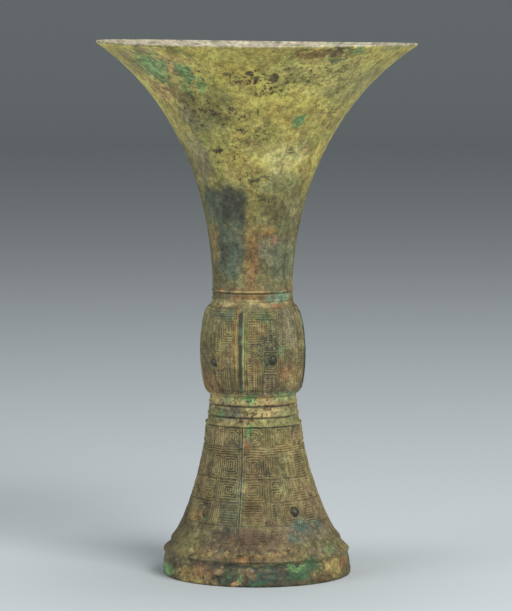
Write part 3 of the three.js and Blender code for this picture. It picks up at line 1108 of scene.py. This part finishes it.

# %% List the crusts and a painted highlight
CRUSTS_AND_PAINTED_HIGHLIGHTS = [
    # the trumpet
    (-30, 262.5, 8, 2, "buff", 0.8),
    (-24, 255, 9, 5, "salmon", 0.5),
    (-26.5, 254, 4, 3.5, "salmon", 0.75),
    (-44, 242, 9, 4, "salmon", 0.6),
    (-48, 261, 9, 2, "buff", 0.5),
    (-36, 254, 9, 5.5, "malachite", 0.8),
    (-19, 251, 3.5, 4.5, "malachite", 0.85),
    (-13.5, 246, 2.5, 2.5, "malachite", 0.75),
    (-23.5, 244, 2.5, 2.5, "malachite", 0.7),
    (-15.5, 263, 4, 2.5, "olive_green", 0.5),
    (38, 261, 11, 2, "rust", 0.7),
    (46, 263, 6, 1.5, "charcoal", 0.7),
    (53.5, 262, 3, 2, "malachite", 0.65),
    (46.5, 258, 4.5, 1.5, "teal", 0.6),
    (57.5, 257.5, 2.5, 1.4, "salmon", 0.6),
    (69.5, 263, 4, 1, "malachite", 0.4),
    (42, 227.5, 4, 2.5, "malachite", 1.0),
    (4, 247, 4, 1.2, "salmon", 0.4),
    # painted highlight on the trumpet's right, where the key light falls
    (31, 210, 8, 3.5, "pale_yellow", 0.6),
    (43, 168.5, 5, 2.5, "pink", 0.7),
    (32, 175, 11, 1.5, "ochre", 0.5),
    (-41, 156, 7, 2, "blue_grey", 0.4),
    # the neck
    (-16, 144, 5, 1, "rust", 0.7),
    (-36, 143.2, 7, 0.9, "orange", 0.6),
    (58, 140, 22, 2, "turquoise", 0.55),
    (10, 137, 76, 1.1, "buff", 0.3),
    (49, 136, 18, 1, "orange", 0.5),
    (-23, 137, 34, 1, "pale_yellow", 0.15),
    # the bulb
    (-18, 132, 15, 2.5, "teal", 0.55),
    (25, 130.5, 13, 4, "verdigris", 0.65),
    (50, 114, 8, 4, "malachite", 0.3),
    (24, 124.5, 7, 4, "orange", 0.35),
    (56, 103, 12, 5, "orange", 0.3),
    (69, 99.5, 14, 5, "buff", 0.35),
    (48, 92, 34, 1, "teal", 0.7),
    # the collar
    (8, 89.5, 12, 2, "malachite", 0.85),
    (-22, 89, 10, 2, "malachite", 0.5),
    (63, 89.5, 31, 2, "pale_green", 0.7),
    (-52, 88.5, 20, 3, "buff", 0.6),
    (29, 90, 11, 2, "salmon", 0.55),
    (-33, 82, 8, 2, "malachite", 0.6),
    (-9, 82, 6, 3, "blue_grey", 0.6),
    (-24, 83, 15, 2, "charcoal", 0.4),
    (30, 83, 22, 2.5, "buff", 0.6),
    (9.5, 78, 4, 3, "malachite", 0.85),
    (3, 80, 5, 1.4, "pink", 0.5),
    (-20, 78, 13, 1.4, "buff", 0.5),
    (62, 79, 21, 4, "grey_green", 0.4),
    # the foot
    (7, 75, 5, 2.5, "malachite", 0.6),
    (4.5, 68, 4, 2, "orange", 0.7),
    (22, 57, 6, 4, "charcoal", 0.6),
    (0, 65, 3.5, 6, "teal", 0.45),
    (-0.5, 48, 3, 14, "teal", 0.35),
    (-41, 37, 10, 2, "ochre_yellow", 0.3),
    (-42, 32, 10, 3, "ochre", 0.7),
    (-37, 36.5, 8, 1.4, "charcoal", 0.7),
    (-30.5, 33, 3.5, 3, "charcoal", 0.6),
    (-31, 30, 4.5, 1.4, "malachite", 0.4),
    (52, 28.5, 5, 2.5, "teal", 0.8),
    (67, 28.5, 6, 2, "teal", 0.5),
    (44, 21.5, 7, 2.5, "teal", 0.45),
    (55, 23, 11, 4.5, "black_green", 0.3),
    (-10, 25.5, 7, 2, "black_green", 0.4),
    # the ledge and the base ring
    (72, 16, 9, 1.5, "malachite", 0.4),
    (17, 15, 28, 2, "ochre", 0.25),
    (-26, 15.5, 13, 2, "ochre_yellow", 0.45),
    (7, 13.5, 4, 1.2, "orange", 0.35),
    (33, 16.5, 10, 1.4, "ochre_yellow", 0.4),
    (-59, 4, 12, 3, "malachite", 0.85),
    (-31, 3, 16, 4, "ochre_yellow", 0.65),
    (-23, 6, 9, 3, "rust", 0.35),
    (-10.5, 4, 2, 2, "black_green", 0.95),
    (-5, 5.5, 5, 3, "verdigris", 0.6),
    (-9, 7, 3, 2, "salmon", 0.5),
    (3, 2, 5, 1.5, "verdigris", 0.6),
    (1, 2, 3, 1.5, "salmon", 0.9),
    (5.5, 5, 2, 3, "malachite", 0.5),
    (10, 7, 3, 2, "salmon", 0.5),
    (16, 2, 7, 1.5, "verdigris", 0.6),
    (43, 6, 10, 4, "verdigris", 0.8),
    (39, 9, 7, 1.5, "malachite", 0.6),
    (52, 8, 7, 4, "verdigris", 0.75),
    (70, 8, 8, 4, "ochre_yellow", 0.85),
    (55, 4, 6, 2.5, "rust", 0.4),
    (84, 8, 8, 2, "orange", 0.8),
    (18, 6, 8, 4, "teal", 0.35),
    # the far side, which the photograph doesn't show
    (-118, 250, 16, 5, "malachite", 0.75),
    (140, 256, 24, 3, "rust", 0.6),
    (170, 236, 12, 5, "buff", 0.6),
    (-160, 96, 14, 4, "malachite", 0.7),
    (125, 89, 16, 3, "buff", 0.6),
    (-130, 82, 16, 4, "buff", 0.5),
    (150, 27, 14, 5, "teal", 0.6),
    (-115, 30, 8, 5, "orange", 0.5),
    (140, 15, 40, 2, "ochre", 0.5),
    (-140, 5, 24, 4.5, "malachite", 0.6),
    (130, 5, 20, 4.5, "ochre_yellow", 0.8),
    (178, 4, 14, 4, "malachite", 0.6),
]
print(len(CRUSTS_AND_PAINTED_HIGHLIGHTS), "crusts")

# %% List the lines and small blotches, with painted shade and painted highlights
LINES = [
    # the trumpet
    (10.5, 251.5, 2, 1.2, "plum", 0.75),
    (13.5, 249, 1.5, 1.4, "plum", 0.75),
    (21.5, 249, 2, 2.5, "plum", 0.8),
    (20.5, 244, 1, 1.2, "plum", 0.7),
    (13.5, 241, 1, 1.2, "plum", 0.8),
    (28, 247, 1, 1.2, "plum", 0.7),
    (0.5, 251, 2, 1.1, "plum", 0.6),
    (38, 247.2, 1.5, 0.9, "plum", 0.5),
    (6, 230.2, 2, 0.6, "plum", 0.75),
    (-0.5, 234, 2, 1.2, "plum", 0.6),
    (32, 234.4, 0.5, 0.5, "plum", 0.8),
    (-17, 213, 5, 1, "plum", 0.7),
    (6, 208.2, 2, 0.8, "plum", 0.6),
    (9.5, 198, 2, 1.5, "plum", 0.7),
    (22.5, 200.4, 3.5, 0.8, "plum", 0.6),
    (15, 223.2, 1.5, 0.8, "plum", 0.6),
    (45, 212, 4, 0.5, "plum", 0.45),
    (39, 214.5, 1, 2, "plum", 0.45),
    (60, 241.6, 1.5, 0.8, "plum", 0.6),
    (44, 253.8, 1.5, 0.5, "plum", 0.6),
    (15, 232.5, 0.5, 2, "dark", 0.8),
    (62, 231.6, 9, 0.5, "dark", 0.35),
    (63, 234.4, 9, 0.4, "dark", 0.35),
    (71, 233.2, 6, 0.5, "dark", 0.35),
    # the neck: painted highlights on the tops of its two strings, and painted shade under the upper
    # one
    (-5, 142.8, 46, 0.4, "pale_yellow", 0.3),
    (1, 138, 50, 0.5, "pale_yellow", 0.2),
    (10, 141.8, 75, 0.3, "dark", 0.5),
    # the bulb
    # this row and the pale green row two below are painted highlights along the nose flange's sides
    (-4.5, 117, 2, 21, "ochre_yellow", 0.75),
    (-7.5, 106, 1, 11, "dark", 0.5),
    (3.5, 115, 1, 19, "pale_green", 0.6),
    (-34, 102.5, 1.5, 2, "dark", 0.7),
    (-33, 99.5, 2, 2, "dark", 0.7),
    (-30.5, 96.5, 1.5, 2, "dark", 0.7),
    (-27.5, 94, 2, 1.5, "dark", 0.6),
    (10.5, 109, 1, 2, "dark", 0.5),
    (14, 109, 1, 2, "dark", 0.5),
    (17, 109, 1, 2, "dark", 0.5),
    (6.5, 100, 1, 3.5, "dark", 0.6),
    # painted shade where the bulb begins to curve under
    (10, 94, 53, 0.5, "dark", 0.5),
    # the collar: painted shade in the lines under its two strings
    (9, 85.8, 76, 0.5, "dark", 0.8),
    (9, 80.2, 77, 0.5, "dark", 0.75),
    # the foot
    # painted shade under the foot's top edge
    (9, 75.8, 78, 0.5, "dark", 0.75),
    (-33, 33.5, 2.5, 3.5, "dark", 0.75),
    (-36.5, 38, 4.5, 0.9, "dark", 0.6),
    (-30.5, 29.5, 2.5, 1.4, "dark", 0.55),
    # the ledge and the base ring
    (3, 12, 41, 0.5, "dark", 0.3),
]
print(len(LINES), "lines")

# %% List the drifts of specks and a painted highlight
SPECKS_AND_PAINTED_HIGHLIGHTS = [
    # the trumpet
    (-17, 234, 22, 10, "dark", 0.85),
    (11, 248, 16, 4.5, "dark", 0.9),
    (-5, 240, 7, 4, "pale_green", 0.7),
    (-13, 212.5, 16, 4.5, "dark", 0.8),
    (13, 222, 16, 6, "dark", 0.7),
    (15, 200, 15, 4, "dark", 0.85),
    (64, 233, 18, 3.5, "dark", 0.6),
    (25, 244, 8, 5, "dark", 0.85),
    (34, 248, 15, 8, "brown", 0.5),
    (51, 253, 26, 9, "dark", 0.45),
    (-25, 238, 24, 15, "rust", 0.45),
    (-43, 250, 25, 13, "dark", 0.4),
    # painted highlight on the trumpet's right, where the key light falls
    (31, 210, 14, 6, "pale_yellow", 0.8),
    (44, 213.5, 7, 3, "dark", 0.7),
    (22, 189, 8, 4, "dark", 0.7),
    (-4, 159, 57, 17, "dark", 0.45),
    (34, 176, 19, 3.5, "pale_green", 0.4),
    # the bulb
    (10, 117, 50, 22, "dark", 0.55),
    (10, 115, 58, 22, "buff", 0.35),
    (5, 115, 72, 25, "malachite", 0.25),
    # the collar
    (9, 84, 78, 7, "dark", 0.8),
    (25, 84, 44, 7, "rust", 0.5),
    (69, 82, 30, 7, "pale_green", 0.4),
    # the foot
    (-2, 22, 51, 7, "dark", 0.45),
    (14, 56, 90, 29, "dark", 0.3),
    # the ledge and the base ring
    (9, 15, 61, 3, "dark", 0.6),
    (-29, 4, 18, 4, "rust", 0.8),
    (-29, 4, 18, 4, "dark", 0.6),
    (55, 8, 15, 4.5, "dark", 0.6),
    (60, 7, 13, 4, "pale_yellow", 0.6),
    (9, 6, 39, 4.5, "dark", 0.7),
    (12, 5, 32, 4, "verdigris", 0.6),
    (12, 5, 18, 4, "rust", 0.5),
    # the far side, which the photograph doesn't show
    (-130, 234, 30, 14, "dark", 0.85),
    (150, 228, 30, 12, "dark", 0.8),
    (170, 112, 60, 22, "dark", 0.5),
    (-120, 82, 60, 7, "dark", 0.7),
    (150, 40, 70, 22, "dark", 0.35),
    (150, 6, 60, 5, "dark", 0.7),
    (-120, 6, 60, 5, "rust", 0.6),
]
print(len(SPECKS_AND_PAINTED_HIGHLIGHTS), "drifts of specks")

# %% List the ground colours and the kinds of patch
# Ground colours: height in millimetres and pigment, blended from one to the next
ZONES = [
    (10, "umber"),
    (12.5, "khaki_dark"),
    (24, "khaki_dark"),
    (38, "khaki"),
    (48, "sand"),
    (74, "sand"),
    (76, "tan"),
    (86, "tan"),
    (89, "buff"),
    (91, "buff"),
    (92.5, "khaki"),
    (135.5, "khaki"),
    (140, "umber"),
    (146, "khaki"),
    (165, "olive_dark"),
    (186, "olive_dark"),
    (208, "olive"),
    (226, "olive"),
    (246, "olive_pale"),
]
PATCH_ROUGHNESS = 0.72
# Each kind of patch, in the order of laying: its patches, the scale and detail of the noise that
# breaks its edge, how strongly it does so, and the reach at which the cover begins and is full
KINDS = [
    (STAINS_AND_PAINTED_HIGHLIGHTS, 0.13, 7.0, 2.2, 1.35, 0.55),
    (CRUSTS_AND_PAINTED_HIGHLIGHTS, 0.3, 6.0, 5.5, 1.15, 0.85),
    (SPECKS_AND_PAINTED_HIGHLIGHTS, 0.5, 5.0, 12.0, 0.15, -0.35),
    (LINES, 0.4, 4.0, 0.9, 1.1, 0.75),
]
print(len(ZONES), "ground colours and", len(KINDS), "kinds of patch")


# %% Add nodes in small steps
class Shading:
    """Adds nodes to one material and joins them as they are made."""

    def __init__(self, tree):
        self.tree = tree

    def node(self, kind, inputs, **settings):
        made = self.tree.nodes.new(kind)
        for name, value in settings.items():
            setattr(made, name, value)
        for socket, value in inputs.items():
            if isinstance(value, bpy.types.NodeSocket):
                self.tree.links.new(value, made.inputs[socket])
            else:
                made.inputs[socket].default_value = value
        return made

    def maths(self, operation, *values):
        inputs = dict(enumerate(values))
        return self.node("ShaderNodeMath", inputs, operation=operation).outputs[0]

    def vector(self, operation, *values):
        inputs = dict(enumerate(values))
        return self.node("ShaderNodeVectorMath", inputs, operation=operation).outputs[0]

    def ramp(self, value, low, high, start=0.0, end=1.0):
        inputs = {"Value": value, "From Min": low, "From Max": high, "To Min": start, "To Max": end}
        made = self.node("ShaderNodeMapRange", inputs, interpolation_type="SMOOTHSTEP", clamp=False)
        return made.outputs["Result"]

    def noise(self, place, scale, detail=4.0, roughness=0.55, output="Fac"):
        inputs = {"Vector": place, "Scale": scale, "Detail": detail, "Roughness": roughness}
        return self.node("ShaderNodeTexNoise", inputs).outputs[output]

    def mix(self, share, under, over, blend="MIX"):
        inputs = {0: share, 6: under, 7: over}
        made = self.node("ShaderNodeMix", inputs, data_type="RGBA", blend_type=blend)
        return made.outputs[2]

    def attribute(self, name):
        return self.node("ShaderNodeAttribute", {}, attribute_name=name).outputs["Fac"]


print("node helpers:", [name for name in vars(Shading) if not name.startswith("_")])

# %% Find the place, the turn and the height
DEGREES = 180 / math.pi
SWAY = (11, 8, 0)
SWAY_SCALE = 0.07


def vessel_places(shading):
    """Gives the place in millimetres, its turn and height as one spot, and the height alone."""
    from_object = shading.node("ShaderNodeTexCoord", {}).outputs["Object"]
    place = shading.vector("MULTIPLY", from_object, (1 / MM, 1 / MM, 1 / MM))
    parts = shading.node("ShaderNodeSeparateXYZ", {"Vector": place})
    height = parts.outputs["Z"]
    bow = shading.maths("SINE", shading.maths("MULTIPLY", height, math.pi / RIM_TOP))
    across = shading.maths("MULTIPLY_ADD", bow, SHAFT_BOW, parts.outputs["X"])
    ahead = shading.maths("MULTIPLY", parts.outputs["Y"], -1.0)
    turn = shading.maths("MULTIPLY", shading.maths("ARCTAN2", across, ahead), DEGREES)
    spot = shading.node("ShaderNodeCombineXYZ", {"X": turn, "Y": height}).outputs["Vector"]
    return place, spot, height


def swayed(shading, spot, place):
    """Moves spots aside by smooth noise, so that no patch keeps a round outline."""
    noisy = shading.noise(place, SWAY_SCALE, 3.0, 0.6, "Color")
    half = tuple(-0.5 * part for part in SWAY)
    return shading.vector("ADD", spot, shading.vector("MULTIPLY_ADD", noisy, SWAY, half))


print("patches sway by up to", SWAY[0] / 2, "degrees and", SWAY[1] / 2, "mm")


# %% Colour the ground and lay the patches
def zone_colour(shading, height):
    """The ground colour of each part of the vessel, from the base ring to the rim."""
    made = shading.node("ShaderNodeValToRGB", {"Fac": shading.maths("DIVIDE", height, RIM_TOP)})
    stops = made.color_ramp.elements
    stops.remove(stops[-1])
    stops[0].position = ZONES[0][0] / RIM_TOP
    for level, _ in ZONES[1:]:
        stops.new(level / RIM_TOP)
    for stop, (_, name) in zip(stops, ZONES):
        stop.color = PIGMENTS[name]
    return made.outputs["Color"]


def lay_patch(shading, colour, spot, broken, edge, patch):
    """Lays one patch over the colour so far: most are patina, a few are painted highlights and shade.
    """
    turn, height, half_turn, half_height, name, strength = patch
    size = (1 / half_turn, 1 / half_height, 0)
    shift = (-turn / half_turn, -height / half_height, 0)
    share = shading.vector("MULTIPLY_ADD", spot, size, shift)
    reach = shading.node("ShaderNodeVectorMath", {0: share}, operation="LENGTH").outputs["Value"]
    cover = shading.ramp(shading.maths("ADD", reach, broken), *edge, 0.0, strength)
    return shading.mix(cover, colour, PIGMENTS[name])


def lay_patches(shading, colour, spot, place):
    """Lays every kind of patch in turn, each broken by its own noise. Only lines aren't swayed."""
    loose = swayed(shading, spot, place)
    for patches, scale, detail, strength, *edge in KINDS:
        where = spot if patches is LINES else loose
        noisy = shading.noise(place, scale, detail, PATCH_ROUGHNESS)
        broken = shading.maths("MULTIPLY_ADD", noisy, strength, -0.5 * strength)
        for patch in patches:
            colour = lay_patch(shading, colour, where, broken, edge, patch)
    return colour


print("the patches take", sum(len(patches) for patches, *_ in KINDS), "turns of laying")

# %% [markdown]
# Between the patches the skin is never even. Broad clouds shift the olive towards green and brown,
# specks of dark oxide and green corrosion lie in loose drifts, and soil stays in the grooves of the
# relief while the threads are rubbed pale. For that the mesh carries four attributes: the threads,
# the eyes, the flanges with the seams, and the inside.

# %% Paint clouds, mottling and specks
# Clouds: pigment, then the scale, detail and roughness of the noise, the noise at which the cover
# begins and is full, and the cover. Specks and drifts have the same numbers without a pigment.
CLOUDS = [
    ("olive_green", 0.045, 3.0, 0.55, 0.42, 0.66, 0.35),
    ("brown", 0.13, 5.0, 0.65, 0.5, 0.7, 0.3),
    ("buff", 0.3, 5.0, 0.7, 0.52, 0.72, 0.3),
]
DARK_SPECKS = (0.7, 5.0, 0.75, 0.58, 0.64, 0.6)
GREEN_SPECKS = (0.45, 5.0, 0.7, 0.62, 0.68, 0.4)
DRIFTS = (0.06, 3.0, 0.55, 0.45, 0.6, 1.0)
GREEN_SHIFT = (40, 70, 10)
# Mottling: scale, how far it lightens and darkens, and how much it shifts the hue
MOTTLES = [(0.1, 0.16, 0.12), (0.36, 0.22, 0.16), (1.1, 0.12, 0.08)]
MOTTLE_LIMITS = (0.32, 0.68)
GREY_NOISE = (4.0, 0.65)
TINT_NOISE = (3.0, 0.6)
TINT_FINER = 1.3


def cloud(shading, place, scale, detail, roughness, begins, full, cover):
    """Noise turned into the cover of a cloud, or of specks where its edge is sharp."""
    return shading.ramp(shading.noise(place, scale, detail, roughness), begins, full, 0.0, cover)


def paint_clouds(shading, colour, place):
    """Shifts the ground colour in broad and in small clouds."""
    for name, *look in CLOUDS:
        colour = shading.mix(cloud(shading, place, *look), colour, PIGMENTS[name])
    return colour


def paint_mottling(shading, colour, place):
    """Lightens, darkens and tints the skin at three sizes, as fine corrosion does."""
    for scale, swing, hue in MOTTLES:
        grain = shading.noise(place, scale, *GREY_NOISE)
        grey = shading.ramp(grain, *MOTTLE_LIMITS, 0.5 - swing, 0.5 + swing)
        tint = shading.noise(place, scale * TINT_FINER, *TINT_NOISE, "Color")
        colour = shading.mix(1.0, colour, shading.mix(hue, grey, tint), "OVERLAY")
    return colour


def paint_specks(shading, colour, place):
    """Scatters a few loose drifts of dark and green specks over everything."""
    drift = cloud(shading, place, *DRIFTS)
    dark = cloud(shading, place, *DARK_SPECKS)
    colour = shading.mix(shading.maths("MULTIPLY", dark, drift), colour, PIGMENTS["dark"])
    green = cloud(shading, shading.vector("ADD", place, GREEN_SHIFT), *GREEN_SPECKS)
    return shading.mix(green, colour, PIGMENTS["malachite"])


print("mottling at", [round(1 / scale, 1) for scale, *_ in MOTTLES], "mm")

# %% Paint grooves, seams, eyes and the lip
SOIL_COVER = 0.55
RUBBED_COVER = 0.45
SEAM_COVER = 0.8
SEAM_GREENS = (0.2, 4.0, 0.6, 0.5, 0.6, 1.0)
EYE_COVER = 0.9
# An eye or a seam begins at the first of these shares of its attribute and is full at the second
MARKED = (0.35, 0.8)
INNER_SOIL = 0.6
LIP_COVER = 0.9
LIP_REACH_INSIDE = 3.5
LIP_WAVE = 1.6


def paint_grooves(shading, colour):
    """Leaves soil in the grooves and rubs the threads pale."""
    crest = shading.attribute("crest")
    soil = shading.ramp(crest, HALFWAY, 0.0, 0.0, SOIL_COVER)
    rubbed = shading.ramp(crest, HALFWAY + 0.05, 1.05, 0.0, RUBBED_COVER)
    colour = shading.mix(soil, colour, PIGMENTS["dark"])
    return shading.mix(rubbed, colour, PIGMENTS["ochre_yellow"])


def paint_seams(shading, colour, place):
    """Darkens the flanges and the seams, where green shows through here and there."""
    green = cloud(shading, place, *SEAM_GREENS)
    dark = shading.mix(green, PIGMENTS["black_green"], PIGMENTS["teal"])
    cover = shading.ramp(shading.attribute("seam"), *MARKED, 0.0, SEAM_COVER)
    return shading.mix(cover, colour, dark)


def paint_eyes(shading, colour):
    """Makes the whole eyes a dark, polished green."""
    cover = shading.ramp(shading.attribute("eye"), *MARKED, 0.0, EYE_COVER)
    return shading.mix(cover, colour, PIGMENTS["black_green"])


def paint_lip(shading, colour, height, place):
    """Darkens the inside with soil, and paints a pale highlight along the lip that reaches further
    down inside.
    """
    inner = shading.attribute("inner")
    colour = shading.mix(shading.maths("MULTIPLY", inner, INNER_SOIL), colour, PIGMENTS["soil"])
    across = shading.node("ShaderNodeSeparateXYZ", {"Vector": place}).outputs["X"]
    share = shading.maths("DIVIDE", across, RIM_RADIUS)
    slope = shading.maths("MULTIPLY_ADD", share, RIM_SADDLE, -RIM_TILT)
    level = shading.maths("SUBTRACT", height, shading.maths("MULTIPLY", slope, share))
    deeper = shading.maths("MULTIPLY_ADD", inner, LIP_REACH_INSIDE, level)
    wavy = shading.maths("MULTIPLY_ADD", shading.noise(place, 0.12), LIP_WAVE, deeper)
    # painted highlight along the rim's top and its inner edge
    highlight = shading.ramp(wavy, RIM_TOP - 0.5, RIM_TOP + 0.5, 0.0, LIP_COVER)
    return shading.mix(highlight, colour, PIGMENTS["lip"])


print("the lip's chalk reaches", LIP_REACH_INSIDE, "mm further down inside")

# %% Join it all into the old bronze
BUMP_DISTANCE = 0.4 * MM
BUMP_STRENGTH = 0.6
BRONZE_METALLIC = 0.1
GRAIN_NOISE = (0.9, 5.0, 0.7)
GRAIN_LIMITS = (0.3, 0.7)
LEAST_ROUGH = 0.5
MOST_ROUGH = 0.75
POLISHED = (0.3, 0.8)
EYE_SHINE = 0.35


def old_bronze():
    """The material of the whole vessel."""
    material = bpy.data.materials.new("old_bronze")
    material.use_nodes = True
    shader = material.node_tree.nodes["Principled BSDF"]
    shading = Shading(material.node_tree)
    place, spot, height = vessel_places(shading)
    colour = paint_clouds(shading, zone_colour(shading, height), place)
    colour = lay_patches(shading, colour, spot, place)
    colour = paint_specks(shading, colour, place)
    colour = paint_lip(shading, colour, height, place)
    colour = paint_mottling(shading, colour, place)
    colour = paint_grooves(shading, colour)
    colour = paint_seams(shading, colour, place)
    colour = paint_eyes(shading, colour)
    grain = shading.noise(place, *GRAIN_NOISE)
    dull = shading.ramp(grain, *GRAIN_LIMITS, LEAST_ROUGH, MOST_ROUGH)
    shine = shading.ramp(shading.attribute("eye"), *POLISHED, 0.0, EYE_SHINE)
    relief = {"Height": grain, "Distance": BUMP_DISTANCE, "Strength": BUMP_STRENGTH}
    uneven = shading.node("ShaderNodeBump", relief)
    links = material.node_tree.links
    links.new(colour, shader.inputs["Base Color"])
    links.new(shading.maths("SUBTRACT", dull, shine), shader.inputs["Roughness"])
    links.new(uneven.outputs["Normal"], shader.inputs["Normal"])
    shader.inputs["Metallic"].default_value = BRONZE_METALLIC
    return material


bronze = old_bronze()
vessel.data.materials.append(bronze)
print("old bronze has", len(bronze.node_tree.nodes), "nodes")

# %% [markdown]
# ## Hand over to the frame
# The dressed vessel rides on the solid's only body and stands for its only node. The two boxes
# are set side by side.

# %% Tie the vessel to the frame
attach(vessel, "root")
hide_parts("gu_vessel")

visual_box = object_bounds()


def plain(box):
    """A box as plain lists of numbers."""
    return [[float(value) for value in corner] for corner in box]


{"cad": plain(cad_box), "visual": plain(visual_box)}
print("the dressed vessel's box in metres:", visual_box)
